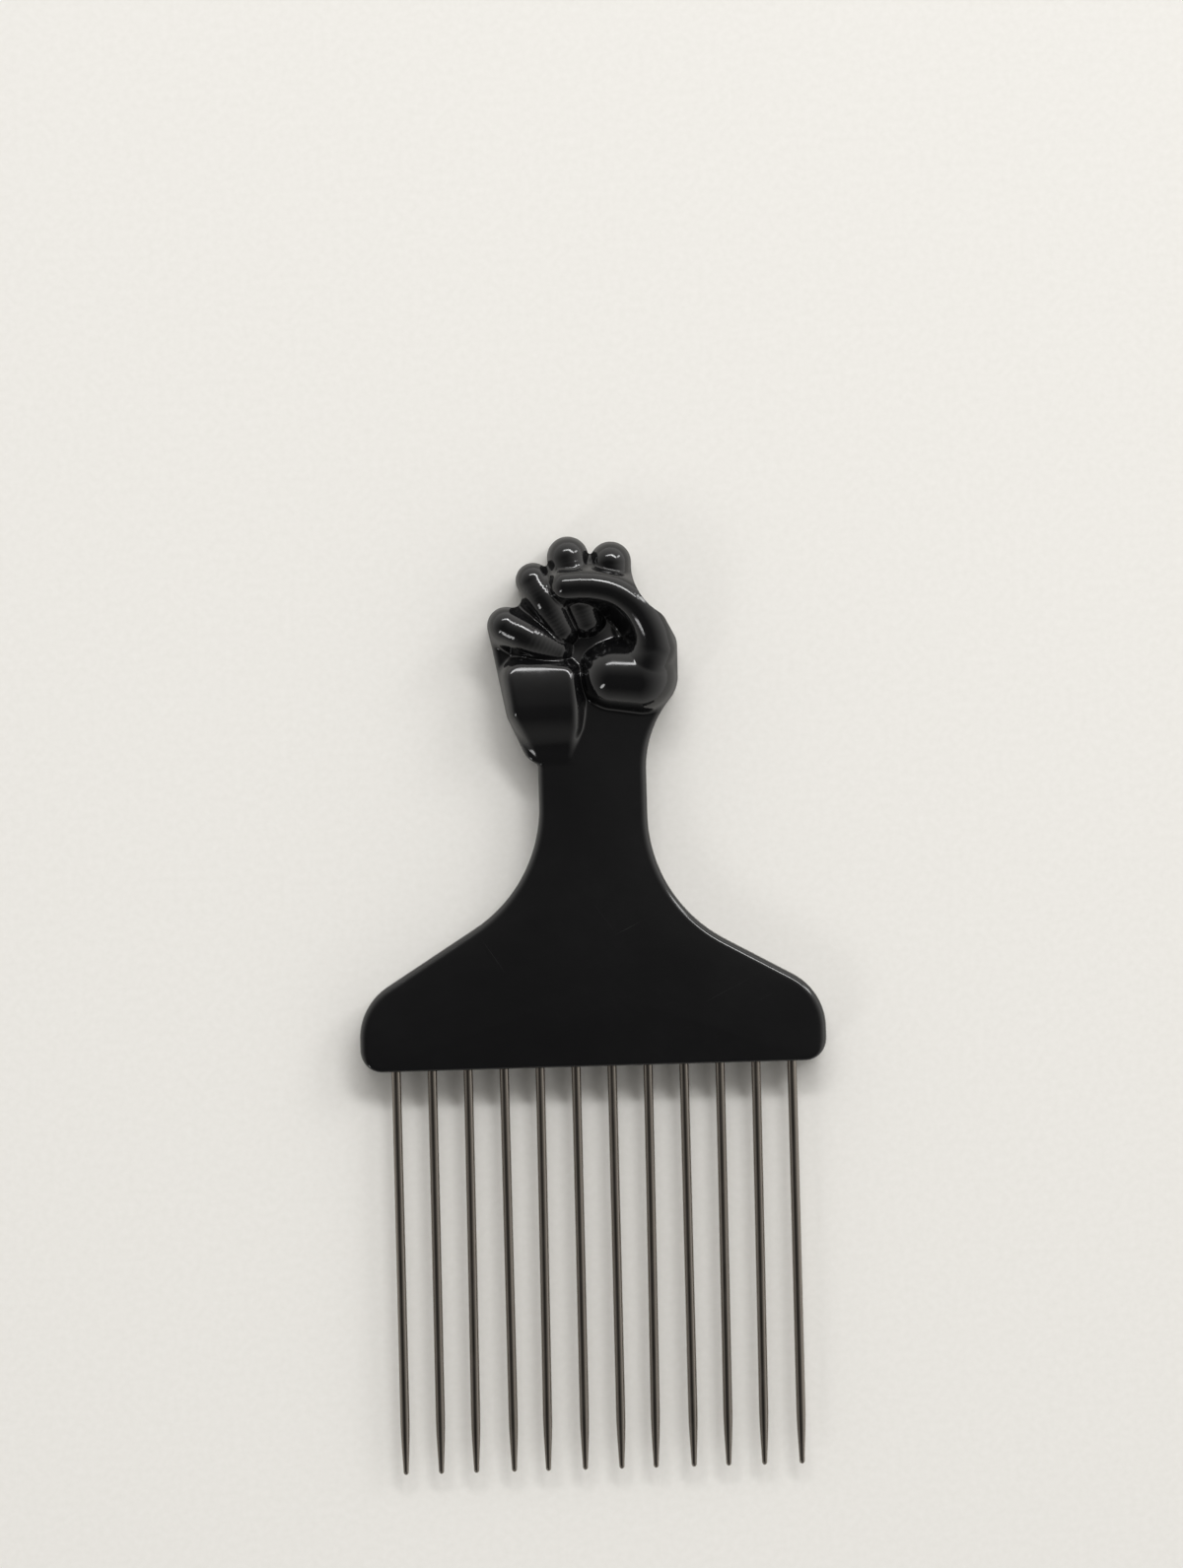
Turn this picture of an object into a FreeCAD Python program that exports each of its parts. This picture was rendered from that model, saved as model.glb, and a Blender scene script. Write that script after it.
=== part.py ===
import FreeCAD, Part
import math
import os

from FreeCAD import Vector

# Afro pick: a moulded plastic handle in the form of a raised right fist, with a row of steel pins moulded
# into its bridge. It lies on its flat back, +X along the row of pins, +Y towards the fist, +Z out of the
# palm side. While it is modelled, y is counted from the pin face, where the pins leave the bridge.
# All lengths are in mm, all angles in degrees.

# Place of the origin: on the flat back, this far above the pin face
origin_above_pin_face = 11.0

# Row of pins
pin_count = 12
pin_pitch = 6.5
pin_diameter = 1.7
pin_free_length = 73.0
pin_root_depth = 11.0
pin_taper_length = 9.0
pin_tip_diameter = 1.0

# Bridge and forearm
plate_thickness = 8.0
rim_bevel = 0.9
row_end_margin = 6.25
bridge_corner_radius = 4.0
shoulder_radius = 11.0
shoulder_height = 6.0
shoulder_slope_left = 32.0
shoulder_slope_right = 29.0
flare_radius = 26.0
forearm_width = 19.5
forearm_offset = 1.2

# Fist: x is counted from the middle of the forearm and y from the wrist line
wrist_height = 54.0
wrist_hollow_radius = 20.0
thumb_hollow_radius = 10.0
heel_notch_radius = 1.0
knuckle_notch = 0.3
knuckle_drop = 0.4
knuckle_step = 0.12
heel_rise = 3.6
heel_bevel = 1.4
heel_fall_start = 7.0
heel_fall_end = 0.5
thumb_ball_depth = 1.4

# Sides of the hand in its outline: radius and middle of each rounded turn
thumb_side_turns = (
    (6.5, Vector(9.4, 16.0, 0)),
    (4.2, Vector(11.7, 21.3, 0)),
    (3.4, Vector(10.9, 24.5, 0)),
)
heel_side_turns = ((4.2, Vector(-11.0, 10.5, 0)), (4.0, Vector(-8.6, 4.6, 0)))

# Heel of the hand, a raised pad: radius and middle of each rounded corner
heel_turns = (
    (3.0, Vector(-8.4, 3.6, 0)),
    (2.0, Vector(-4.8, 2.4, 0)),
    (2.2, Vector(-4.2, 7.0, 0)),
    (1.6, Vector(-4.0, 17.2, 0)),
    (2.2, Vector(-13.4, 17.3, 0)),
    (3.8, Vector(-11.0, 10.5, 0)),
)

# Each finger from thumb side to little finger: radius, middle of its bend and of its tip,
# with z counted from the front of the plate
fingers = {
    "index": (3.7, Vector(4.35, 36.6, 0.8), Vector(4.5, 31.8, 0.2)),
    "middle": (3.7, Vector(-3.3, 37.7, 1.0), Vector(-0.4, 27.0, -0.9)),
    "ring": (3.15, Vector(-9.6, 33.7, 1.4), Vector(-4.6, 24.7, -0.2)),
    "little": (3.4, Vector(-14.7, 25.7, 0.8), Vector(-5.6, 21.0, -0.8)),
}

# Thumb from its ball to its tip: radius and middle of each joint, with z counted from the front of the plate
thumb = (
    (4.2, Vector(11.7, 20.8, 0.9)),
    (3.1, Vector(7.6, 29.8, 3.7)),
    (3.1, Vector(-3.6, 32.3, 4.1)),
)
thumb_ball = ((6.3, Vector(4.4, 16.3, 0)), (6.6, Vector(9.3, 15.9, 0)))


def belt(turns):
    """Closed wire round a row of circles, counter-clockwise, with the common tangent between neighbours.

    Each turn is a radius and a middle. A positive radius turns round the outside of its circle, a negative
    one is a hollow in the outline.
    """
    legs = []
    for (radius, middle), (next_radius, next_middle) in zip(turns, turns[1:] + turns[:1]):
        across = next_middle - middle
        lean = max(-1.0, min(1.0, (radius - next_radius) / across.Length))
        bearing = math.atan2(across.y, across.x) - math.acos(lean)
        facing = Vector(math.cos(bearing), math.sin(bearing), 0)
        leave = middle + facing * radius
        arrive = next_middle + facing * next_radius
        touching = leave.distanceToPoint(arrive) < 1e-6
        legs.append((leave, leave if touching else arrive, facing))
    edges = []
    for i, (radius, middle) in enumerate(turns):
        arriving = legs[i - 1]
        leaving = legs[i]
        halfway = (arriving[2] + leaving[2]).normalize()
        edges.append(Part.Arc(arriving[1], middle + halfway * radius, leaving[0]).toShape())
        if leaving[0] != leaving[1]:
            edges.append(Part.LineSegment(leaving[0], leaving[1]).toShape())
    return Part.Wire(Part.__sortEdges__(edges))


def slab(wire, bottom, top):
    """Plate with that outline, from one height to another."""
    return Part.Face(wire).extrude(Vector(0, 0, top - bottom)).translated(Vector(0, 0, bottom))


def rim(plate, height):
    """Edges of a plate that lie flat at that height."""
    boxes = [(edge, edge.BoundBox) for edge in plate.Edges]
    return [edge for edge, box in boxes if abs(box.ZMin - height) < 1e-4 and abs(box.ZMax - height) < 1e-4]


def limb(radius, start, end_radius, end):
    """Two balls joined by the cone, or the cylinder, that touches both, turned from one profile."""
    along = end - start
    length = along.Length
    along.normalize()
    side = along.cross(Vector(0.31, 0.17, 1.0)).normalize()
    touch = math.acos((radius - end_radius) / length)

    def on_ball(distance, ball_radius, angle):
        ahead = along * (distance + ball_radius * math.cos(angle))
        return start + ahead + side * (ball_radius * math.sin(angle))

    start_pole = start - along * radius
    start_rim = on_ball(0, radius, touch)
    end_rim = on_ball(length, end_radius, touch)
    end_pole = end + along * end_radius
    runs = [
        Part.Arc(start_pole, on_ball(0, radius, (math.pi + touch) / 2), start_rim),
        Part.LineSegment(start_rim, end_rim),
        Part.Arc(end_rim, on_ball(length, end_radius, touch / 2), end_pole),
        Part.LineSegment(end_pole, start_pole),
    ]
    profile = Part.Wire([run.toShape() for run in runs])
    return Part.Face(profile).revolve(start, along, 360)


def on_hand(turns):
    """The same turns, counted from the pin face and the middle of the bridge."""
    return [(radius, middle + Vector(forearm_offset, wrist_height, 0)) for radius, middle in turns]


def bridge_end(side):
    """Corner, shoulder and flare at one end of the bridge, in order from the pin face up."""
    half = row_end_margin + (pin_count - 1) * pin_pitch / 2
    corner = Vector(side * (half - bridge_corner_radius), bridge_corner_radius, 0)
    shoulder = Vector(side * (half - shoulder_radius), shoulder_height, 0)
    slope = math.radians(shoulder_slope_right if side > 0 else shoulder_slope_left)
    hollow_x = forearm_offset + side * (forearm_width / 2 + flare_radius)
    rise = shoulder_radius + flare_radius - math.sin(slope) * side * (hollow_x - shoulder.x)
    hollow = Vector(hollow_x, shoulder.y + rise / math.cos(slope), 0)
    return [(bridge_corner_radius, corner), (shoulder_radius, shoulder), (-flare_radius, hollow)]


def hollow_between(turn, next_turn, radius):
    """Hollow of that radius in the outline between two turns, touching both."""
    (before, middle), (after, next_middle) = turn, next_turn
    across = next_middle - middle
    apart = across.Length
    along = (apart**2 + (before + radius) ** 2 - (after + radius) ** 2) / (2 * apart)
    outward = math.sqrt((before + radius) ** 2 - along**2)
    across.normalize()
    return -radius, middle + across * along + Vector(across.y, -across.x, 0) * outward


def knuckles():
    """Turns of the four knuckles in the outline, with a small hollow between each two."""
    row = []
    for radius, bend, tip in fingers.values():
        row.append((radius - knuckle_step, Vector(bend.x, bend.y - knuckle_drop, 0)))
    turns = row[:1]
    for turn, next_turn in zip(row, row[1:]):
        gap = turn[1].distanceToPoint(next_turn[1]) - turn[0] - next_turn[0]
        turns += [hollow_between(turn, next_turn, max(gap, 0) / 2 + knuckle_notch), next_turn]
    return on_hand(turns)


def wrist_hollow(side, radius, turn):
    """Hollow between one side of the forearm and the turn of the hand that it runs into, touching both."""
    turn_radius, middle = turn
    x = forearm_offset + side * (forearm_width / 2 + radius)
    drop = math.sqrt((turn_radius + radius) ** 2 - (middle.x - x) ** 2)
    return -radius, Vector(x, middle.y - drop, 0)


def make_plate():
    """Bridge, forearm and hand as one plate on its flat back, with an even bevel round the front rim."""
    thumb_side = on_hand(thumb_side_turns)
    heel_side = on_hand(heel_side_turns)
    row = knuckles()
    turns = bridge_end(1) + [wrist_hollow(1, wrist_hollow_radius, thumb_side[0])] + thumb_side
    turns += [hollow_between(thumb_side[-1], row[0], thumb_hollow_radius)] + row
    turns += heel_side + [wrist_hollow(-1, heel_notch_radius, heel_side[-1])] + bridge_end(-1)[::-1]
    plate = slab(belt(turns), 0, plate_thickness)
    return plate.makeChamfer(min(rim_bevel, 0.45 * plate_thickness), rim(plate, plate_thickness))


def make_heel():
    """Raised pad with a bevelled rim, whose front falls away to the forearm at the wrist."""
    front = plate_thickness + heel_rise
    pad = slab(belt(on_hand(heel_turns)), plate_thickness / 2, front)
    pad = pad.makeChamfer(min(heel_bevel, 0.45 * heel_rise), rim(pad, front))
    box = pad.BoundBox
    corners = [
        Vector(box.XMin - 1, wrist_height + heel_fall_start, front),
        Vector(box.XMin - 1, wrist_height + heel_fall_end, plate_thickness),
        Vector(box.XMin - 1, box.YMin - 1, plate_thickness),
        Vector(box.XMin - 1, box.YMin - 1, front),
    ]
    fall = Part.Face(Part.makePolygon(corners + corners[:1]))
    return pad.cut(fall.extrude(Vector(box.XLength + 2, 0, 0)))


def make_palm_side():
    """Forms that stand out of the plate on the palm side: heel, ball of the thumb, fingers and thumb."""
    forms = [make_heel()]
    hand = Vector(forearm_offset, wrist_height, plate_thickness)
    for radius, bend, tip in fingers.values():
        forms.append(limb(radius, bend + hand, radius, tip + hand))
    for (radius, joint), (next_radius, next_joint) in zip(thumb, thumb[1:]):
        forms.append(limb(radius, joint + hand, next_radius, next_joint + hand))
    sunk = hand - Vector(0, 0, thumb_ball_depth)
    (radius, inner), (next_radius, outer) = thumb_ball
    forms.append(limb(radius, inner + sunk, next_radius, outer + sunk))
    return forms


def make_pin(place):
    """Steel pin: straight drawn wire, ground to a long taper that bows into the wire, with a blunt end."""
    radius = pin_diameter / 2
    end = Vector(pin_tip_diameter / 2, -pin_free_length, 0)
    shoulder = Vector(radius, pin_taper_length - pin_free_length, 0)
    thinner = radius - end.x
    bow = (thinner**2 + pin_taper_length**2) / (2 * thinner)
    half = math.asin(pin_taper_length / bow) / 2
    halfway = shoulder + Vector(math.cos(half) - 1, -math.sin(half), 0) * bow
    root = Vector(radius, pin_root_depth, 0)
    middle_low = Vector(0, end.y, 0)
    middle_high = Vector(0, root.y, 0)
    runs = [
        Part.LineSegment(middle_low, end),
        Part.Arc(end, halfway, shoulder),
        Part.LineSegment(shoulder, root),
        Part.LineSegment(root, middle_high),
        Part.LineSegment(middle_high, middle_low),
    ]
    profile = Part.Wire([run.toShape() for run in runs])
    return Part.Face(profile).revolve(Vector(0, 0, 0), Vector(0, 1, 0), 360).translated(place)


def pin_places():
    """Middle of each pin where it leaves the pin face, from left to right."""
    first = -(pin_count - 1) * pin_pitch / 2
    return [Vector(first + i * pin_pitch, 0, plate_thickness / 2) for i in range(pin_count)]


def main():
    os.makedirs("parts", exist_ok=True)
    pins = [make_pin(place) for place in pin_places()]
    nodes = {"handle": make_plate().multiFuse(make_palm_side()).removeSplitter().cut(pins)}
    for number, pin in enumerate(pins, 1):
        nodes[f"pin_{number:02d}"] = pin
    for name, shape in nodes.items():
        placed = shape.translated(Vector(0, -origin_above_pin_face, 0))
        solid = placed.Solids[0]
        print(name, "solids", len(placed.Solids), "valid", solid.isValid(), "volume", round(solid.Volume, 1))
        solid.exportStep(f"parts/{name}.step")


main()
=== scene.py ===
# %% [markdown]
# # An afro pick
# A hair pick with a handle moulded in glossy black plastic, in the form of a forearm and a raised fist,
# and twelve steel pins moulded into its bridge. The solids of the CAD model are the frame, and both share
# one set of axes, so each piece goes where the CAD model has it. We dress the frame with finer surfaces,
# give them real materials, and light them like a small product photograph taken from straight above.

# %% Load the frame
import math

import bpy
import numpy as np
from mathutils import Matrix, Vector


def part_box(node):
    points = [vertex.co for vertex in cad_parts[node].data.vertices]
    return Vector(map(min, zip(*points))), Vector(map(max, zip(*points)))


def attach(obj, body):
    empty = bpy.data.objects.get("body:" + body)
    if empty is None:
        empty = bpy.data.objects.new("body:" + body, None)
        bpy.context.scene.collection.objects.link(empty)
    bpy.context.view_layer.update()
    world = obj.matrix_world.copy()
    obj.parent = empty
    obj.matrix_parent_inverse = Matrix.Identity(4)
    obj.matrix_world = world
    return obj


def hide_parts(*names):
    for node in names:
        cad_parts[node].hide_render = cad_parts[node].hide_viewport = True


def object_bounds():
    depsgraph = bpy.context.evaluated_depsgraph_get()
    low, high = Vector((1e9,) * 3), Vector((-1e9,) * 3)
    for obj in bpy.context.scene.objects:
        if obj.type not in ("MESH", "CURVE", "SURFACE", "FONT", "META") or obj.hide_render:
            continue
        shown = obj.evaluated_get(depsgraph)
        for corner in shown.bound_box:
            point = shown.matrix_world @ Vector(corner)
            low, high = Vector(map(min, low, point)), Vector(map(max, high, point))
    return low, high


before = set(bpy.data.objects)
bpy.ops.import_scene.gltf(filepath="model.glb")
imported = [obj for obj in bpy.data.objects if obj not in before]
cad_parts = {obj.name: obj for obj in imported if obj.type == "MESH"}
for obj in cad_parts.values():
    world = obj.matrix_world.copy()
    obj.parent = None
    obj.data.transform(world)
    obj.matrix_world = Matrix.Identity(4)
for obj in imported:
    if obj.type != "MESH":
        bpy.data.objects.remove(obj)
cad_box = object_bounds()
MM = 0.001
pin_names = sorted(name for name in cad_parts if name.startswith("pin_"))
size_mm = [round(side / MM, 1) for side in cad_box[1] - cad_box[0]]
print("nodes", len(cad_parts), "pins", len(pin_names), "size in mm", size_mm)

# %% [markdown]
# ## The bridge, and the hollows beside it
# Seen from above, the handle is a row of rounded turns joined by straight lines, like a belt round
# pulleys: bridge corners, shoulders, hollow flares, the wrist, the sides of the hand and four knuckles.
# One could trace it with a Bezier curve, but such moulds are drawn with arcs and tangents, so we work it
# out that way. A turn is a radius and a middle. A hollow has a negative radius, and its middle follows
# from the two things it touches.

# %% Turns of the bridge, in millimetres, with y counted from the pin face
ORIGIN_ABOVE_PIN_FACE = 11.0
THICKNESS = 8.0
FOREARM_MIDDLE = 1.2
FOREARM_HALF = 9.75
BRIDGE_HALF = 42.0
CORNER = 4.0  # radius of the bridge's lower corners
SHOULDER = 11.0  # radius of its upper corners
SHOULDER_Y = 6.0  # height of their middles
FLARE = 26.0  # radius of the hollow between shoulder and forearm
RIGHT_SLOPE = math.radians(29)
LEFT_SLOPE = math.radians(32)


def bridge_end(side, slope):
    """Corner, shoulder and flare of one end of the bridge.

    The flare's middle is one radius out from the forearm. Square to the slope, it lies both radii away from
    the shoulder's middle, so one sloping line touches both.
    """
    shoulder_x = side * (BRIDGE_HALF - SHOULDER)
    flare_x = FOREARM_MIDDLE + side * (FOREARM_HALF + FLARE)
    rise = SHOULDER + FLARE - math.sin(slope) * side * (flare_x - shoulder_x)
    flare_y = SHOULDER_Y + rise / math.cos(slope)
    return [
        (CORNER, side * (BRIDGE_HALF - CORNER), CORNER),
        (SHOULDER, shoulder_x, SHOULDER_Y),
        (-FLARE, flare_x, flare_y),
    ]


def wrist_hollow(side, hollow, turn):
    """Hollow that touches one side of the forearm and the next turn of the hand.

    Its middle is one radius out from the forearm and both radii away from the middle of that turn.
    """
    radius, x, y = turn
    hollow_x = FOREARM_MIDDLE + side * (FOREARM_HALF + hollow)
    return [(-hollow, hollow_x, y - math.sqrt((radius + hollow) ** 2 - (x - hollow_x) ** 2))]


def hollow_between(turn, next_turn, hollow):
    """Hollow of that radius between two turns, with its middle both radii away from each of theirs."""
    (r0, x0, y0), (r1, x1, y1) = turn, next_turn
    apart = math.hypot(x1 - x0, y1 - y0)
    along = (apart**2 + (r0 + hollow) ** 2 - (r1 + hollow) ** 2) / (2 * apart)
    out = math.sqrt((r0 + hollow) ** 2 - along**2)
    ux, uy = (x1 - x0) / apart, (y1 - y0) / apart
    return -hollow, x0 + ux * along + uy * out, y0 + uy * along - ux * out


right_end = bridge_end(1, RIGHT_SLOPE)
left_end = bridge_end(-1, LEFT_SLOPE)
flare_heights = [round(end[-1][2], 1) for end in (right_end, left_end)]
print("middles of the flares", flare_heights, "mm above the pin face")

# %% [markdown]
# ## The turns of the hand
# The hand has its own numbers, counted from the wrist line, so that the whole fist could be moved in one
# place. Each knuckle is the first joint of its finger, seen from above. Where two knuckles stand apart,
# the hollow between them grows to fill the gap, and otherwise it is just the narrow notch that a cutter
# leaves.

# %% Sides of the hand and the row of knuckles
HAND = np.array([1.2, 54.0, THICKNESS])  # where the wrist line is, on the front of the plate
NOTCH = 0.3  # least radius of the hollow between two knuckles
THUMB_WRIST = 20.0  # radius of the hollow at the wrist, on the thumb's side
HEEL_WRIST = 1.0  # the same on the side of the heel
THUMB_HOLLOW = 10.0  # radius of the hollow between the thumb and the index finger

# Radius and place of each joint, from the knuckle to the tip
FINGERS = {
    "index": [(3.7, (4.35, 36.6, 0.8)), (3.4, (4.5, 31.6, 0.2))],
    "middle": [(3.7, (-3.3, 37.7, 1.0)), (3.5, (-1.8, 31.5, 1.4)), (3.2, (-0.2, 26.6, -0.5))],
    "ring": [(3.15, (-9.6, 33.7, 1.4)), (3.25, (-7.4, 29.7, 1.8)), (2.7, (-4.7, 24.9, 0.1))],
    "little": [(3.4, (-14.7, 25.7, 0.8)), (3.3, (-10.8, 23.6, 1.2)), (2.7, (-5.9, 21.2, -0.5))],
}


def on_hand(*turns):
    """Turns of the hand, moved from the wrist line to the pin face."""
    return [(radius, x + HAND[0], y + HAND[1]) for radius, x, y in turns]


def knuckles():
    """Four knuckles, and between each two a hollow whose radius is half their gap plus the notch."""
    row = on_hand(*[(joints[0][0], *joints[0][1][:2]) for joints in FINGERS.values()])
    turns = row[:1]
    for turn, next_turn in zip(row, row[1:]):
        gap = math.hypot(next_turn[1] - turn[1], next_turn[2] - turn[2]) - turn[0] - next_turn[0]
        turns += [hollow_between(turn, next_turn, max(gap, 0) / 2 + NOTCH), next_turn]
    return turns


thumb_side = on_hand((6.5, 9.4, 16.0), (4.2, 11.7, 21.3), (3.4, 10.9, 24.5))
heel_side = on_hand((4.2, -11.0, 10.5), (4.0, -8.6, 4.6))
finger_row = knuckles()
outline_turns = (
    right_end + wrist_hollow(1, THUMB_WRIST, thumb_side[0]) + thumb_side
    + [hollow_between(thumb_side[-1], finger_row[0], THUMB_HOLLOW)] + finger_row
    + heel_side + wrist_hollow(-1, HEEL_WRIST, heel_side[-1]) + left_end[::-1]
)
print("turns", len(outline_turns), "of which knuckles and their hollows", len(finger_row))

# %% [markdown]
# ## The belt round the turns
# For each pair of neighbouring circles, the common tangent gives the direction that the outline faces
# there, and on each circle that direction turns from one tangent to the next. All turns are handled in
# one array. Every point keeps its outward direction, because the rims are set in from the outline along
# it.

# %% The outline as points and outward directions
def belt(turns, steps=160):
    """Closed line round a row of circles, as points and outward normals.

    A point is middle + radius * normal. On each circle the normal turns from the common tangent with the
    circle before to the one with the circle after; a negative radius makes the circle a hollow.
    """
    radius, middle = turns[:, 0], turns[:, 1:]
    to_next = np.roll(middle, -1, 0) - middle
    lean = np.clip((radius - np.roll(radius, -1)) / np.hypot(*to_next.T), -1, 1)
    leaving = np.arctan2(to_next[:, 1], to_next[:, 0]) - np.arccos(lean)
    arriving = np.roll(leaving, 1)
    sense = np.sign(radius)
    turn = sense * np.mod(sense * (leaving - arriving), 2 * np.pi)
    angle = arriving[:, None] + turn[:, None] * np.linspace(0, 1, steps)
    normal = np.stack([np.cos(angle), np.sin(angle)], -1)
    line = middle[:, None] + radius[:, None, None] * normal
    return line.reshape(-1, 2), normal.reshape(-1, 2)


outline, outward = belt(np.array(outline_turns))
travel = np.concatenate([[0], np.cumsum(np.hypot(*np.diff(outline, axis=0).T))])
around = travel[-1] + np.hypot(*(outline[0] - outline[-1]))
print("outline", round(around, 1), "mm round, top at", round(outline[:, 1].max(), 2))

# %% [markdown]
# ## Stations from the rim to the spine
# A two-part mould can only make a shape with one height above each point, so the front of the handle is a
# relief. A square grid would cut the rim into steps. Instead a profile is carried round the outline: each
# starts at the back, comes up the side, goes over the rounded rim, and then runs straight across the
# relief to a spine in the middle of the forearm. The left and the right side share the spine's points, so
# the surface closes without a seam. The two parameters are the way along the outline and the way along
# the profile.

# %% Stations along the outline, each with its point on the spine
MIDWAY = 50.0  # height on the forearm where the runs of both sides lie level
SPINE_LOW, SPINE_HIGH = (0.3, 14.0), (-0.8, 75.5)
RIGHT_LOW, RIGHT_HIGH = 3.0, 84.0  # the stretch of the right side whose stations share out the spine
LEFT_LOW, LEFT_HIGH = 3.0, 77.0
LOWER_ROWS, UPPER_ROWS = 70, 130
TOP_STATIONS = 260  # over the knuckles, all running to the spine's upper end
LOW_STATIONS = 140  # along the pin face, all running to its lower end

lower_y = np.linspace(RIGHT_LOW, MIDWAY, LOWER_ROWS)[:-1]
right_y = np.concatenate([lower_y, np.linspace(MIDWAY, RIGHT_HIGH, UPPER_ROWS)])
spine_y = np.interp(right_y, [RIGHT_LOW, MIDWAY, RIGHT_HIGH], [SPINE_LOW[1], MIDWAY, SPINE_HIGH[1]])
left_y = np.interp(spine_y, [SPINE_LOW[1], MIDWAY, SPINE_HIGH[1]], [LEFT_LOW, MIDWAY, LEFT_HIGH])
spine_x = np.interp(spine_y, [SPINE_LOW[1], SPINE_HIGH[1]], [SPINE_LOW[0], SPINE_HIGH[0]])
spine = np.column_stack([spine_x, spine_y])

summit = int(outline[:, 1].argmax())
going_up = slice(0, summit)
coming_down = slice(len(outline) - 1, summit, -1)
travel_right = np.interp(right_y, np.maximum.accumulate(outline[going_up, 1]), travel[going_up])
travel_left = np.interp(left_y, np.maximum.accumulate(outline[coming_down, 1]), travel[coming_down])
travel_top = np.linspace(travel_right[-1], travel_left[-1], TOP_STATIONS + 2)[1:-1]
travel_low = np.linspace(travel_left[0], travel_right[0] + around, LOW_STATIONS + 2)[1:-1]
stations = np.concatenate([travel_right, travel_top, travel_left[::-1], travel_low])
spine_of = np.concatenate([
    np.arange(len(spine)), np.full(TOP_STATIONS, len(spine) - 1),
    np.arange(len(spine))[::-1], np.zeros(LOW_STATIONS, int),
])
print("stations", len(stations), "spine points", len(spine))

# %% [markdown]
# ## The width of the front rim
# The plate's front edge is rounded so that it sits well in the hand, but along the face that the pins
# leave it is almost sharp. So each station gets its own rim, which narrows softly where the outline turns
# down to the pins.

# %% Edge point, direction and rim at each station
RIM = 1.3
PIN_FACE_RIM = 0.5
# The rim narrows while the part of the outline's direction that faces the pins grows from one to the other
PINWARD_FROM, PINWARD_FULL = 0.2, 0.9


def round_the_loop(values):
    """Values of the dense outline, read at the stations with straight lines between its points."""
    twice_round = np.concatenate([travel, travel + around])
    twice = np.concatenate([values, values])
    return np.stack([np.interp(stations, twice_round, column) for column in twice.T], 1)


edge = round_the_loop(outline)
facing = round_the_loop(outward)
facing /= np.linalg.norm(facing, axis=1, keepdims=True)
pinward = np.clip((-facing[:, 1] - PINWARD_FROM) / (PINWARD_FULL - PINWARD_FROM), 0, 1)
rim = RIM + (PIN_FACE_RIM - RIM) * pinward**2 * (3 - 2 * pinward)
print("rim", round(rim.min(), 2), "to", round(rim.max(), 2), "mm")

# %% [markdown]
# ## Fingers and thumb
# The fist takes the most skill: four bent fingers, a thumb across them, the ball of the thumb and the
# heel of the hand. It could be sculpted by hand, or built from balls joined with booleans. Here each form
# is a height above the floor. A finger is a rod with round ends, which bends evenly because many short
# limbs follow a smooth line through its joints. The flanks stop at a steep slope, as they must for the
# moulding to leave its mould.

# %% Heights of rods and bent fingers
DRAFT = 2.3  # steepest rise over run of a flank


def joint(radius, place):
    """A joint of the hand in the handle's own place."""
    return radius, np.array(place) + HAND


def swell(distance, radius):
    """Height of a ball or rod over its middle: the circle sqrt(r^2 - d^2), and a straight flank where that
    gets too steep."""
    turn_off = radius * DRAFT / math.hypot(1, DRAFT)
    round_top = np.sqrt(radius**2 - np.minimum(distance, turn_off) ** 2)
    return round_top - DRAFT * np.maximum(distance - turn_off, 0)


def limb(x, y, start, end):
    """Height of a rod with round ends between two joints, each a radius and a place, tapering evenly."""
    (r0, p0), (r1, p1) = start, end
    dx, dy = p1[0] - p0[0], p1[1] - p0[1]
    share = np.clip(((x - p0[0]) * dx + (y - p0[1]) * dy) / (dx**2 + dy**2), 0, 1)
    distance = np.hypot(x - p0[0] - share * dx, y - p0[1] - share * dy)
    return p0[2] + share * (p1[2] - p0[2]) + swell(distance, r0 + share * (r1 - r0))


def smooth_line(joints, steps=8):
    """More joints on a smooth line through the given ones: between two, a cubic whose slope at each joint
    is half the way from the joint before to the joint after, for the radius and for the place."""
    rows = np.array([(radius, *place) for radius, place in joints])
    row = np.concatenate([2 * rows[:1] - rows[1:2], rows, 2 * rows[-1:] - rows[-2:-1]])
    before, start, end, after = (row[i:len(rows) - 1 + i, None] for i in range(4))
    t = np.linspace(0, 1, steps, endpoint=False)[:, None]
    bend = (2 * before - 5 * start + 4 * end - after) * t**2 + (3 * start - before - 3 * end + after) * t**3
    line = start + ((end - before) * t + bend) / 2
    return [(each[0], each[1:]) for each in np.concatenate([line.reshape(-1, 4), rows[-1:]])]


def chain(x, y, joints):
    """Height of a finger: the highest of the short limbs along the smooth line through its joints."""
    line = smooth_line(joints)
    return np.max([limb(x, y, start, end) for start, end in zip(line, line[1:])], axis=0)


thumb = [
    joint(4.2, (11.7, 20.8, 0.9)), joint(3.6, (11.1, 24.4, 2.2)), joint(3.2, (9.0, 28.3, 3.3)),
    joint(3.05, (5.4, 31.2, 3.9)), joint(2.95, (0.8, 32.4, 4.2)), joint(2.9, (-3.8, 32.4, 4.3)),
]
thumb_ball = [joint(6.3, (4.4, 16.3, -1.4)), joint(6.6, (9.3, 15.9, -1.4))]
print("thumb top", round(float(thumb[-1][0] + thumb[-1][1][2]), 2), "mm above the floor")

# %% [markdown]
# ## The heel of the hand
# Below the little finger lies a broad, flat pad. Its upper edge is rolled over, and downwards it melts
# into the forearm with no edge at all. A bevelled block would show a hard frame, so the pad is worked out
# from how far a point lies inside its outline: a cubic rounds the rim, and starts as steep as the flank
# below it.

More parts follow.
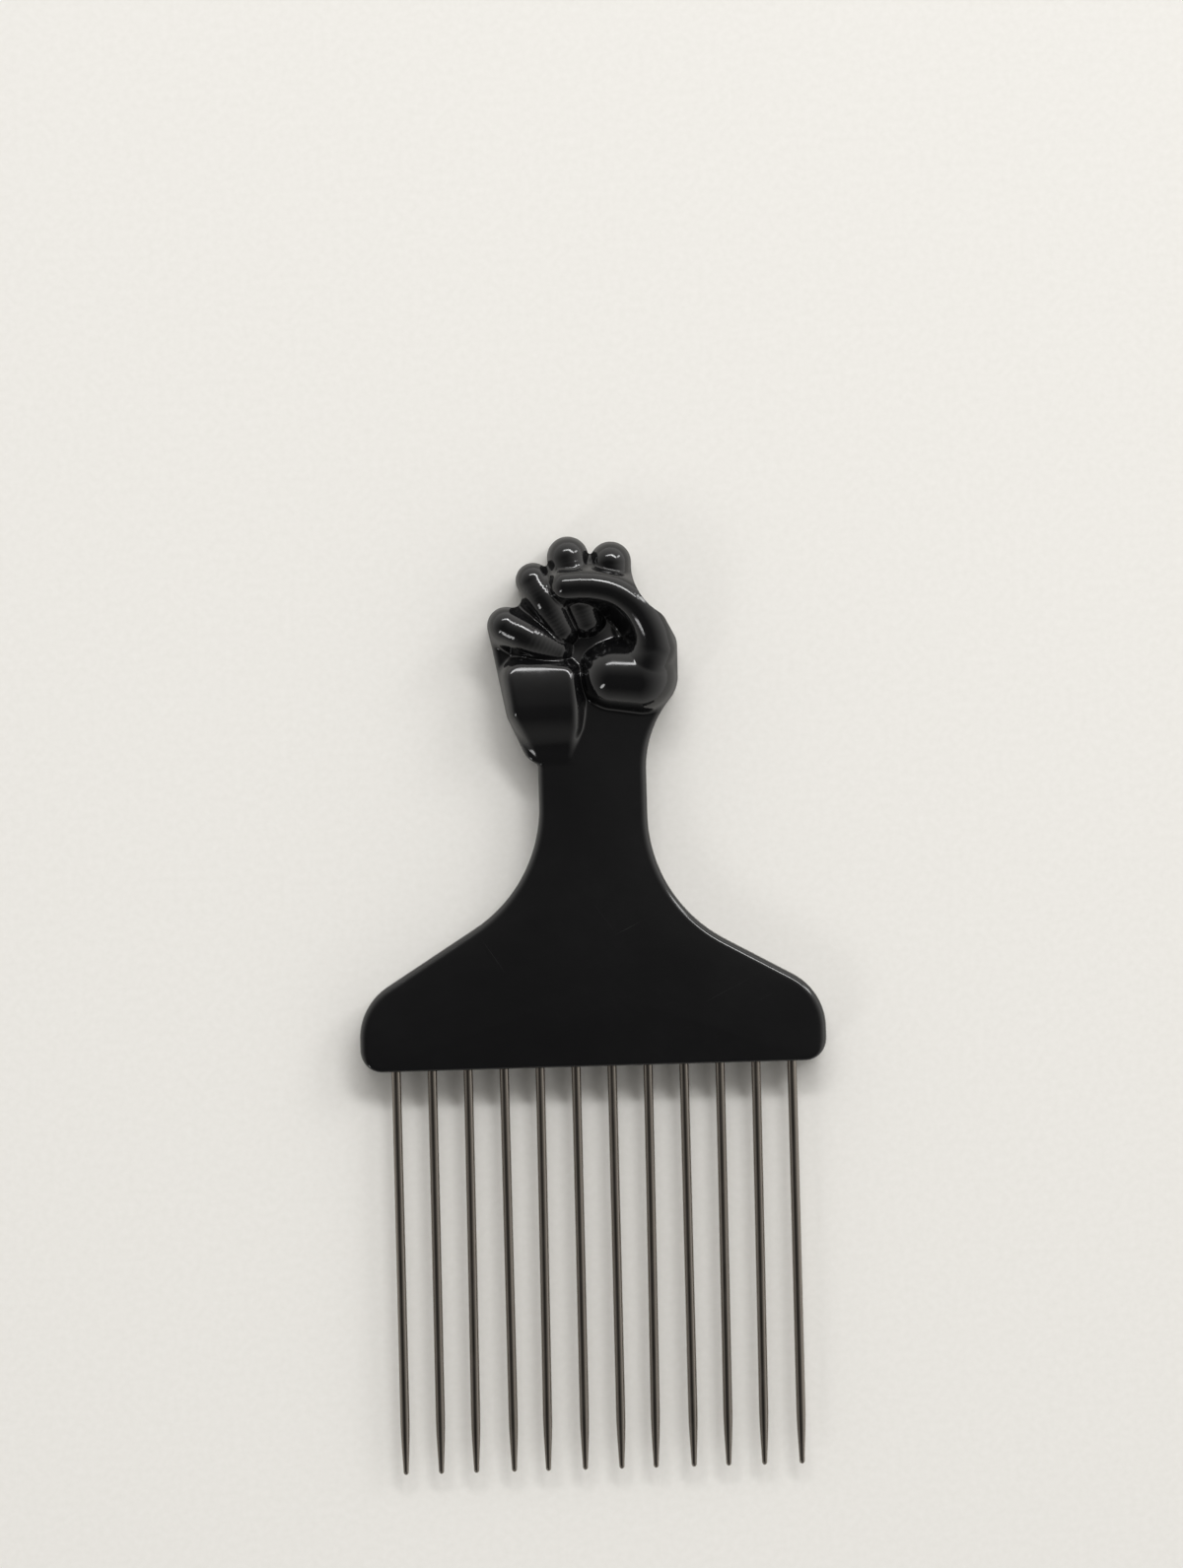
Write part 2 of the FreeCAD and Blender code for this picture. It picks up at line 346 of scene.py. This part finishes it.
# %% Height of the heel pad
HEEL_RISE = 3.6  # height above the plate
HEEL_RIM = 1.6  # height of its rounding
HEEL_REACH = 3 * HEEL_RIM / DRAFT  # how far the rounding reaches in
HEEL_FALL_FROM, HEEL_FALL_TO = 66.0, 54.0  # from where to where it falls away to the forearm
HEEL_ROLL = 1.3  # how far its upper edge is rolled down
HEEL_ROLL_FROM, HEEL_ROLL_TO = 63.0, 73.0
heel_turns = on_hand(
    (3.0, -8.4, 3.6), (2.0, -4.8, 2.4), (2.2, -3.9, 7.0),
    (3.0, -5.0, 16.4), (3.4, -12.2, 16.7), (3.8, -11.0, 10.5),
)


def inside(x, y, turns, directions=96):
    """How far a point lies inside the hull of some circles: the least distance to any line touching it."""
    angle = np.linspace(0, 2 * np.pi, directions, endpoint=False)
    depth = np.full_like(x, np.inf)
    for c, s in zip(np.cos(angle), np.sin(angle)):
        depth = np.minimum(depth, max(r + c * tx + s * ty for r, tx, ty in turns) - c * x - s * y)
    return depth


def heel(x, y):
    """Height of the pad: a level that falls on an S-curve and rolls off with the fourth power, less a cubic
    rounding near the outline, and a straight flank outside it."""
    depth = inside(x, y, heel_turns)
    rounded = HEEL_RIM * (1 - (1 - np.clip(depth / HEEL_REACH, 0, 1)) ** 3)
    fall = np.clip((HEEL_FALL_FROM - y) / (HEEL_FALL_FROM - HEEL_FALL_TO), 0, 1)
    roll = np.clip((y - HEEL_ROLL_FROM) / (HEEL_ROLL_TO - HEEL_ROLL_FROM), 0, 1)
    level = THICKNESS + HEEL_RISE * (1 - fall**3 * (10 - 15 * fall + 6 * fall**2))
    return level - HEEL_ROLL * roll**4 - HEEL_RIM + rounded + DRAFT * np.minimum(depth, 0)


print("heel pad", THICKNESS + HEEL_RISE, "mm above the floor, its rounding", round(HEEL_REACH, 2), "mm wide")

# %% [markdown]
# ## The whole front
# The relief is the highest of all forms at every point. A plain maximum would leave knife-sharp creases.
# A soft one leaves a small fillet in each, as the mould maker's ball cutter does, and a wider one where
# the thumb grows out of its ball. Two shallow dents deepen the palm beside the fingertips and the thumb.

# %% Plate, dents and soft maximum
CROWN = 0.25  # how far the plate rises towards the spine
CREASE = 0.9  # heights closer than this are joined by a fillet
THUMB_ROOT = 3.0  # the same where the thumb leaves its ball
PALM_DENTS = [(0.9, (-2.0, 75.5), 3.0), (1.2, (8.2, 79.0), 3.2)]  # depth, middle and reach


def plate(inset, rim, run):
    """Height of the plate: a quarter circle over the rim, and a crown, a sine of the run to the spine."""
    rounded = np.sqrt(rim**2 - (rim - np.minimum(inset, rim)) ** 2)
    return THICKNESS - rim + rounded + CROWN * np.sin(run * np.pi / 2)


def dent(x, y, middle, reach):
    """A soft hollow, one deep in its middle: exp(-d^2 / reach^2)."""
    return np.exp(-((x - middle[0]) ** 2 + (y - middle[1]) ** 2) / reach**2)


def softest(a, b, fillet):
    """The higher of two heights; where they are closer than the fillet, a parabola rounds the crease."""
    near = np.maximum(fillet - np.abs(a - b), 0) / fillet
    return np.maximum(a, b) + near**2 * fillet / 4


def relief(x, y, inset, rim, run):
    """Height of the front: the soft maximum of the dented plate, the heel, the fingers and the thumb."""
    height = plate(inset, rim, run)
    for deep, middle, reach in PALM_DENTS:
        height = height - deep * dent(x, y, middle, reach)
    height = softest(height, heel(x, y), CREASE)
    for joints in FINGERS.values():
        height = softest(height, chain(x, y, [joint(*each) for each in joints]), CREASE)
    thumb_mass = softest(limb(x, y, *thumb_ball), chain(x, y, thumb), THUMB_ROOT)
    return softest(height, thumb_mass, CREASE)


spine_height = relief(spine[:, 0], spine[:, 1], RIM, RIM, 1.0)
print("spine", round(spine_height.min(), 2), "to", round(spine_height.max(), 2), "mm above the floor")

# %% [markdown]
# ## The points of the handle
# Now the profile is carried round. Its columns are: the spine on the flat back, the small rounding of the
# back rim, the side, the rounded front rim with its points close together, and the straight run to the
# spine. Whole arrays give the points. A clip to the box of the CAD model trims a few points on top by some
# thousandths of a millimetre.

# %% Columns of points
BACK_RIM = 0.4
RIM_POINTS = 10
RUN_POINTS = 90
quarter = np.linspace(0, np.pi / 2, RIM_POINTS)
back_inset = BACK_RIM * (1 - np.sin(quarter[::2]))
back_height = BACK_RIM * (1 - np.cos(quarter[::2]))
rim_inset = rim[:, None] * (1 - np.cos(quarter))
across = np.linspace(0, 1, RUN_POINTS + 2)[1:-1]

back_xy = edge[:, None] - facing[:, None] * back_inset[None, :, None]
back_z = np.zeros(back_xy.shape[:2]) + back_height
rim_xy = edge[:, None] - facing[:, None] * rim_inset[..., None]
run_xy = rim_xy[:, -1:] + (spine[spine_of][:, None] - rim_xy[:, -1:]) * across[None, :, None]
front_xy = np.concatenate([rim_xy, run_xy], 1)
front_inset = np.concatenate([rim_inset, np.full(run_xy.shape[:2], RIM)], 1)
front_run = np.concatenate([np.zeros(RIM_POINTS), across])[None]
front_z = relief(front_xy[..., 0], front_xy[..., 1], front_inset, rim[:, None], front_run)

back_part = np.concatenate([back_xy, back_z[..., None]], -1)
front_part = np.concatenate([front_xy, front_z[..., None]], -1)
shell = np.concatenate([back_part, front_part], 1)
spine_front = np.column_stack([spine, spine_height])
spine_back = np.column_stack([spine, np.zeros(len(spine))])
points = np.concatenate([shell.reshape(-1, 3), spine_front, spine_back])
lowest, highest = (np.array(corner) / MM + [0, ORIGIN_ABOVE_PIN_FACE, 0] for corner in cad_box)
points = np.clip(points, lowest, highest)
print("points", len(points), "in", shell.shape[0], "profiles of", shell.shape[1], "and the spine")

# %% [markdown]
# ## The handle's mesh
# Neighbours in the array become the corners of a face. At both ends of the spine many runs meet in one
# point, so there the quads become triangles. The piece stands for the CAD solid and rides on the pick's
# only body.

# %% Faces of the handle
def faces_of(quads):
    """Quads as they are, and triangles where two neighbouring corners are the same point."""
    repeats = quads == np.roll(quads, -1, 1)
    whole = quads[~repeats.any(1)]
    part = quads[repeats.sum(1) == 1]
    corner = repeats[repeats.sum(1) == 1].argmax(1)
    keep = (corner[:, None] + np.arange(1, 4)) % 4
    return whole.tolist() + np.take_along_axis(part, keep, 1).tolist()


def make_piece(name, points_mm, faces):
    """A smooth-shaded mesh from points in millimetres from the pin face, riding on the pick's one body."""
    mesh = bpy.data.meshes.new(name)
    mesh.from_pydata(((points_mm - [0, ORIGIN_ABOVE_PIN_FACE, 0]) * MM).tolist(), [], faces)
    mesh.shade_smooth()
    piece = bpy.data.objects.new(name, mesh)
    bpy.context.scene.collection.objects.link(piece)
    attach(piece, "root")
    return piece


count = shell.shape[0] * shell.shape[1]
columns = np.column_stack([
    count + len(spine) + spine_of, np.arange(count).reshape(shell.shape[:2]), count + spine_of,
])
ahead = np.roll(columns, -1, 0)
quads = np.stack([columns[:, :-1], ahead[:, :-1], ahead[:, 1:], columns[:, 1:]], -1).reshape(-1, 4)
handle = make_piece("moulded_handle", points, faces_of(quads))
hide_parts("handle")
handle_triangles = sum(len(face.vertices) - 2 for face in handle.data.polygons)
print("handle", handle_triangles, "triangles, top at", round(float(points[:, 2].max()), 2), "mm")

# %% [markdown]
# ## One pin
# Each pin is a piece of drawn wire, ground to a long taper with a rounded tip. A cylinder with a cone
# would do from far away. Here a profile of radii is turned round the wire's line, so the taper can bow
# out a little and the line itself may lean.

# %% Profile of a pin, and the wire turned from it
PIN_TIP = 0.48  # radius where the rounded tip starts
TIP_STRETCH = 1.2  # length of the rounded tip over its radius
PIN_TAPER = 10.0  # length of the taper
TAPER_BOW = 1.2  # power of the sine that it grows with
PLAIN_FROM = PIN_TAPER + 1.5  # where the plain wire starts, from the tip
TIP_RINGS, TAPER_RINGS, PLAIN_RINGS = 8, 11, 20
RING = 28  # points round the wire


def pin_profile(wire, length):
    """Radii of a pin, and how far each lies from the tip: a quarter ellipse, a taper that grows with a
    power of a sine, plain wire, and the middle of the flat root."""
    turn = np.linspace(0, np.pi / 2, TIP_RINGS)
    tip_way = (1 - np.cos(turn)) * PIN_TIP * TIP_STRETCH
    taper = np.linspace(0, 1, TAPER_RINGS + 1)[1:]
    taper_radius = PIN_TIP + (wire - PIN_TIP) * np.sin(taper * np.pi / 2) ** TAPER_BOW
    plain_way = np.linspace(PLAIN_FROM, length, PLAIN_RINGS)
    radius = np.concatenate([np.sin(turn) * PIN_TIP, taper_radius, np.full(PLAIN_RINGS, wire), [0]])
    way = np.concatenate([tip_way, tip_way[-1] + taper * PIN_TAPER, plain_way, [length]])
    return radius, way


def turned_wire(radius, centre):
    """Wire of rings: a point is centre + radius * (cos a, 0, -sin a), with the angle and the way along as
    parameters, and a point at each end."""
    angle = np.linspace(0, 2 * np.pi, RING, endpoint=False)
    circle = np.stack([np.cos(angle), np.zeros(RING), -np.sin(angle)], -1)
    rings = centre[1:-1, None] + radius[1:-1, None, None] * circle[None]
    index = np.arange(rings.shape[0] * RING).reshape(-1, RING)
    beside = np.roll(index, -1, 1)
    sides = np.stack([index[:-1], beside[:-1], beside[1:], index[1:]], -1).reshape(-1, 4)
    low_cap = np.stack([index[0], np.full(RING, index.size), beside[0]], -1)
    high_cap = np.stack([index[-1], beside[-1], np.full(RING, index.size + 1)], -1)
    wire_points = np.concatenate([rings.reshape(-1, 3), centre[:1], centre[-1:]])
    return wire_points, sides.tolist() + low_cap.tolist() + high_cap.tolist()


print("rings on a pin", TIP_RINGS + TAPER_RINGS + PLAIN_RINGS - 1, "of", RING, "points")

# %% [markdown]
# ## The row of pins
# No two wires come out of the mould quite alike, so each leans by a hair and a little differently. A sine
# of the pin's number stands in for chance, because it gives the same row at every run. The lean starts at
# the pin face, so the root stays in its hole.

# %% Twelve pins, each where its CAD solid is
LEAN = -0.4  # sideways lean of the tips in millimetres, on average
LEAN_SPREAD = 0.2
LEAN_BEND = 1.3  # above 1, the lean grows towards the tip
CHANCE_START, CHANCE_STEP = 0.7, 2.4  # angle of the sine at the first pin, and from pin to pin
pins = []
for number, name in enumerate(pin_names):
    low, high = (np.array(corner) / MM + [0, ORIGIN_ABOVE_PIN_FACE, 0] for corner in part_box(name))
    middle = (low + high) / 2
    wire = (high[0] - low[0]) / 2
    radius, way = pin_profile(wire, high[1] - low[1])
    pin_y = low[1] + way
    free_share = np.clip(pin_y / low[1], 0, 1)
    chance = math.sin(CHANCE_STEP * number + CHANCE_START)
    lean = (LEAN + LEAN_SPREAD * chance) * free_share**LEAN_BEND
    centre = np.column_stack([middle[0] + lean, pin_y, np.full(len(pin_y), middle[2])])
    pin_points, pin_faces = turned_wire(radius, centre)
    pin = make_piece("wire_" + name, pin_points, pin_faces)
    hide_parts(name)
    pins.append(pin)
print("pins", len(pins), "each", len(pins[0].data.polygons), "faces, wire", round(2 * wire, 2), "mm")

# %% [markdown]
# ## Materials
# Two materials make this pick. Each starts from what it really is and how it was made, and every pattern
# has a size in millimetres. One small function adds a node, sets it and links it, so that a material
# reads from top to bottom.

# %% Colour and node helpers
def linear(code):
    """sRGB hex colour to the linear values that the shader takes."""
    parts = np.array([int(code[i:i + 2], 16) for i in (1, 3, 5)]) / 255
    return (*np.where(parts <= 0.04045, parts / 12.92, ((parts + 0.055) / 1.055) ** 2.4).tolist(), 1.0)


def add(tree, kind, inputs=None, **settings):
    """Adds a node with its settings; an input takes a value, or a link where that is a node's output."""
    node = tree.nodes.new(kind)
    for name, value in settings.items():
        setattr(node, name, value)
    for name, value in (inputs or {}).items():
        if isinstance(value, bpy.types.NodeSocket):
            tree.links.new(value, node.inputs[name])
        else:
            node.inputs[name].default_value = value
    return node


def new_material(name):
    """An empty material, with the tree to fill and the object's own coordinates in metres."""
    material = bpy.data.materials.new(name)
    material.use_nodes = True
    material.node_tree.nodes.clear()
    place = add(material.node_tree, "ShaderNodeTexCoord").outputs["Object"]
    return material, material.node_tree, place


def per_mm(size):
    """Scale of a pattern whose grains are that many millimetres wide, for coordinates in metres."""
    return 1 / (size * MM)


print("darkest black of the handle", [round(part, 4) for part in linear("#0b0b0c")[:3]])

# %% [markdown]
# ### Injection-moulded black plastic: its gloss
# The handle is general purpose polystyrene or ABS, moulded in a polished tool. To the eye it is almost
# pure black with a wet gloss; what shows is what it reflects. Handling leaves a thin haze over it, in
# patches and in fine rubs, and there are a few hairlines from other picks in the carton. What these
# change most is how sharp the reflections are, so they are worked into the roughness first.

# %% Haze, rubs and hairlines
plastic, tree, place = new_material("polystyrene_black_moulded_gloss")
haze = add(tree, "ShaderNodeTexNoise", {
    "Vector": place, "Scale": per_mm(14), "Detail": 3.0, "Roughness": 0.55,
})
rub = add(tree, "ShaderNodeTexNoise", {
    "Vector": place, "Scale": per_mm(1.6), "Detail": 4.0, "Roughness": 0.6,
})
# Hairlines are some hundredths of a millimetre wide; they are drawn about 0.15 mm wide so that they show
line_a = add(tree, "ShaderNodeMapping", {
    "Vector": place, "Rotation": (0, 0, 0.6), "Scale": (0.3 * MM, 22 * MM, 22 * MM),
}, vector_type="TEXTURE")
line_b = add(tree, "ShaderNodeMapping", {
    "Vector": place, "Rotation": (0, 0, -1.1), "Scale": (0.3 * MM, 16 * MM, 16 * MM),
}, vector_type="TEXTURE")
hair_a = add(tree, "ShaderNodeTexNoise", {"Vector": line_a.outputs[0], "Scale": 1.0, "Detail": 1.0})
hair_b = add(tree, "ShaderNodeTexNoise", {"Vector": line_b.outputs[0], "Scale": 1.0, "Detail": 1.0})
most = add(tree, "ShaderNodeMath", {0: hair_a.outputs[0], 1: hair_b.outputs[0]}, operation="MAXIMUM")
hairline = add(tree, "ShaderNodeMapRange", {
    "Value": most.outputs[0], "From Min": 0.76, "From Max": 0.84, "To Min": 0.0, "To Max": 1.0,
})
veil = add(tree, "ShaderNodeMapRange", {
    "Value": haze.outputs[0], "From Min": 0.35, "From Max": 0.7, "To Min": 0.07, "To Max": 0.16,
})
fine = add(tree, "ShaderNodeMapRange", {
    "Value": rub.outputs[0], "From Min": 0.3, "From Max": 0.7, "To Min": -0.02, "To Max": 0.03,
})
gloss = add(tree, "ShaderNodeMath", {0: veil.outputs[0], 1: fine.outputs[0]}, operation="ADD")
scuffed = add(tree, "ShaderNodeMath", {
    0: hairline.outputs[0], 1: 0.25, 2: gloss.outputs[0],
}, operation="MULTIPLY_ADD")
print(plastic.name, "has", len(tree.nodes), "nodes for its gloss")

# %% [markdown]
# ### Injection-moulded black plastic: its skin
# Even a polished tool leaves a faint orange peel, and thick plastic sinks a little as it cools, so a
# straight reflection comes back gently bent. That is far too shallow for the mesh, and a bump of a few
# hundredths of a millimetre gives it. The black itself is only slightly uneven.

# %% Colour, orange peel and the finished plastic
tint = add(tree, "ShaderNodeMix", {
    "Factor": haze.outputs[0], "A": linear("#0b0b0c"), "B": linear("#121213"),
}, data_type="RGBA")
peel = add(tree, "ShaderNodeTexNoise", {"Vector": place, "Scale": per_mm(3.2), "Detail": 1.0})
sink = add(tree, "ShaderNodeTexNoise", {"Vector": place, "Scale": per_mm(22), "Detail": 0.0})
skin = add(tree, "ShaderNodeMath", {
    0: sink.outputs[0], 1: 6.0, 2: peel.outputs[0],
}, operation="MULTIPLY_ADD")
scratched = add(tree, "ShaderNodeMath", {
    0: hairline.outputs[0], 1: -0.15, 2: skin.outputs[0],
}, operation="MULTIPLY_ADD")
bump = add(tree, "ShaderNodeBump", {
    "Strength": 1.0, "Distance": 0.013 * MM, "Height": scratched.outputs[0],
})
surface = add(tree, "ShaderNodeBsdfPrincipled", {
    "Base Color": tint.outputs["Result"], "Roughness": scuffed.outputs[0], "IOR": 1.55,
    "Normal": bump.outputs[0],
})
add(tree, "ShaderNodeOutputMaterial", {"Surface": surface.outputs[0]})
handle.data.materials.append(plastic)
print(plastic.name, len(tree.nodes), "nodes")

# %% [markdown]
# ### Drawn steel wire
# The pins are bright drawn steel wire, thinly plated with nickel: a slightly warm grey mirror. The
# drawing die leaves fine lines along the wire, which smear reflections across it, and the plating is a
# little duller in patches.

# %% Nickel-plated drawn wire
steel, tree, place = new_material("steel_wire_drawn_nickel_plated")
# Die lines are finer than 0.05 mm; they are drawn 0.12 mm wide so that they show
die = add(tree, "ShaderNodeMapping", {
    "Vector": place, "Scale": (per_mm(0.12), per_mm(30), per_mm(0.12)),
})
lines = add(tree, "ShaderNodeTexNoise", {
    "Vector": die.outputs[0], "Scale": 1.0, "Detail": 3.0, "Roughness": 0.6,
})
patch = add(tree, "ShaderNodeTexNoise", {"Vector": place, "Scale": per_mm(5), "Detail": 3.0})
tone = add(tree, "ShaderNodeMix", {
    "Factor": lines.outputs[0], "A": linear("#6f6964"), "B": linear("#8d877f"),
}, data_type="RGBA")
dull = add(tree, "ShaderNodeMapRange", {
    "Value": patch.outputs[0], "From Min": 0.3, "From Max": 0.7, "To Min": 0.08, "To Max": 0.18,
})
worn = add(tree, "ShaderNodeMath", {
    0: lines.outputs[0], 1: 0.1, 2: dull.outputs[0],
}, operation="MULTIPLY_ADD")
groove = add(tree, "ShaderNodeBump", {
    "Strength": 0.5, "Distance": 0.01 * MM, "Height": lines.outputs[0],
})
surface = add(tree, "ShaderNodeBsdfPrincipled", {
    "Base Color": tone.outputs["Result"], "Metallic": 1.0, "Roughness": worn.outputs[0],
    "Normal": groove.outputs[0],
})
add(tree, "ShaderNodeOutputMaterial", {"Surface": surface.outputs[0]})
for pin in pins:
    pin.data.materials.append(steel)
print(steel.name, len(tree.nodes), "nodes")

# %% [markdown]
# ## The floor
# The pick lies on a plain pale floor of matt paper, which takes its shadows and shows in its steel. The
# sheet is large, so that low views don't see its end, and it lies a hair below the pick so that no two
# faces coincide.

# %% Floor
FLOOR_REACH = 3.0  # from the middle to an edge, in metres
FLOOR_GAP = 0.05 * MM
ground = cad_box[0].z - FLOOR_GAP
floor_corners = [
    (-FLOOR_REACH, -FLOOR_REACH, ground), (FLOOR_REACH, -FLOOR_REACH, ground),
    (FLOOR_REACH, FLOOR_REACH, ground), (-FLOOR_REACH, FLOOR_REACH, ground),
]
floor_mesh = bpy.data.meshes.new("floor")
floor_mesh.from_pydata(floor_corners, [], [(0, 1, 2, 3)])
floor = bpy.data.objects.new("floor", floor_mesh)
bpy.context.scene.collection.objects.link(floor)
paper, tree, place = new_material("paper_pale_matte")
grain = add(tree, "ShaderNodeTexNoise", {"Vector": place, "Scale": per_mm(1.2), "Detail": 4.0})
shade = add(tree, "ShaderNodeMix", {
    "Factor": grain.outputs[0], "A": linear("#eae8e3"), "B": linear("#f3f1ed"),
}, data_type="RGBA")
surface = add(tree, "ShaderNodeBsdfPrincipled", {
    "Base Color": shade.outputs["Result"], "Roughness": 0.9, "Specular IOR Level": 0.2,
})
add(tree, "ShaderNodeOutputMaterial", {"Surface": surface.outputs[0]})
floor.data.materials.append(paper)
print("floor at", round(ground / MM, 3), "mm")

# %% [markdown]
# ## The room
# Black gloss shows only what it mirrors, so the room matters more than the amount of light. It is dark
# straight above, where the flat front would mirror it into the camera, paler towards the horizon, and
# palest beyond the fist and to the right, as if a window were there. A picture of a studio could do this,
# but three numbers of the direction are enough.

# %% Brightness of the room by direction
world = bpy.data.worlds.new("studio")
bpy.context.scene.world = world
world.use_nodes = True
tree = world.node_tree
tree.nodes.clear()
toward = add(tree, "ShaderNodeTexCoord")
split = add(tree, "ShaderNodeSeparateXYZ", {0: toward.outputs["Generated"]})
upward = add(tree, "ShaderNodeMapRange", {
    "Value": split.outputs["Z"], "From Min": 0.0, "From Max": 1.0, "To Min": 1.2, "To Max": 0.11,
})
sideways = add(tree, "ShaderNodeMath", {
    0: split.outputs["X"], 1: 0.25, 2: upward.outputs[0],
}, operation="MULTIPLY_ADD")
window = add(tree, "ShaderNodeMath", {
    0: split.outputs["Y"], 1: 0.45, 2: sideways.outputs[0],
}, operation="MULTIPLY_ADD")
level = add(tree, "ShaderNodeMath", {0: window.outputs[0], 1: 0.06}, operation="MAXIMUM")
sky = add(tree, "ShaderNodeBackground", {"Color": linear("#fffdf9"), "Strength": level.outputs[0]})
add(tree, "ShaderNodeOutputWorld", {"Surface": sky.outputs[0]})
print("room", len(tree.nodes), "nodes")

# %% [markdown]
# ## The lamps
# The main lamp stands on the window's side, so the shadows fall short and to the left. Three slim ones at
# the top and the sides draw thin lines along the rounded rims. All are long ovals, because round ends
# keep their reflections from looking like boxes.

# %% Four oval lamps
LAMP_AIM = (0.0, 0.03, 0.005)


def oval_lamp(name, place, size, watts):
    """A soft oval lamp at a place in metres, turned about x and then about z to face the pick."""
    lamp = bpy.data.lights.new(name, "AREA")
    lamp.shape = "ELLIPSE"
    lamp.size, lamp.size_y = size
    lamp.energy = watts
    holder = bpy.data.objects.new(name, lamp)
    holder.location = place
    away = np.array(place) - np.array(LAMP_AIM)
    tilt = math.atan2(math.hypot(away[0], away[1]), away[2])
    holder.rotation_euler = (tilt, 0, math.atan2(away[0], -away[1]))
    bpy.context.scene.collection.objects.link(holder)
    return holder


lamps = [
    oval_lamp("window", (0.63, 1.05, 1.47), (1.05, 0.30), 10.0),
    oval_lamp("strip_top", (-0.12, 1.23, 1.40), (1.35, 0.21), 8.4),
    oval_lamp("strip_right", (1.20, 0.87, 0.93), (0.24, 0.63), 3.4),
    oval_lamp("strip_left", (-1.08, -0.93, 1.08), (0.24, 0.63), 2.6),
]
print("lamps", [lamp.name for lamp in lamps])

# %% [markdown]
# ## The camera
# The photograph looks straight down with a long lens, and the pick lies in it turned by a little more
# than a degree and a half. The frame is 1200 by 1591 pixels, at about 5.6 pixels for each millimetre at
# the height of the pins. From that and the lens follows how high the camera hangs.

# %% Camera
PIXELS_PER_MM = 5.615
FRAME_PIXELS = 1591  # height of the frame
FRAME_X, FRAME_Y = 1.02, 50.86  # middle of the frame in millimetres, from the pin face
PIN_HEIGHT = 4.0  # middle of the pins above the floor, in millimetres
TURN = math.radians(-1.65)
view_height = FRAME_PIXELS / PIXELS_PER_MM * MM
lens = bpy.data.cameras.new("camera")
lens.sensor_fit = "VERTICAL"
lens.sensor_height = 36.0
lens.lens = 120.0
hang = PIN_HEIGHT * MM + view_height * lens.lens / lens.sensor_height
camera = bpy.data.objects.new("camera", lens)
camera.location = (FRAME_X * MM, (FRAME_Y - ORIGIN_ABOVE_PIN_FACE) * MM, hang)
camera.rotation_euler = (0, 0, TURN)
bpy.context.scene.collection.objects.link(camera)
bpy.context.scene.camera = camera
bpy.context.scene.view_settings.view_transform = "Standard"
print("camera height", round(camera.location.z, 3), "m")
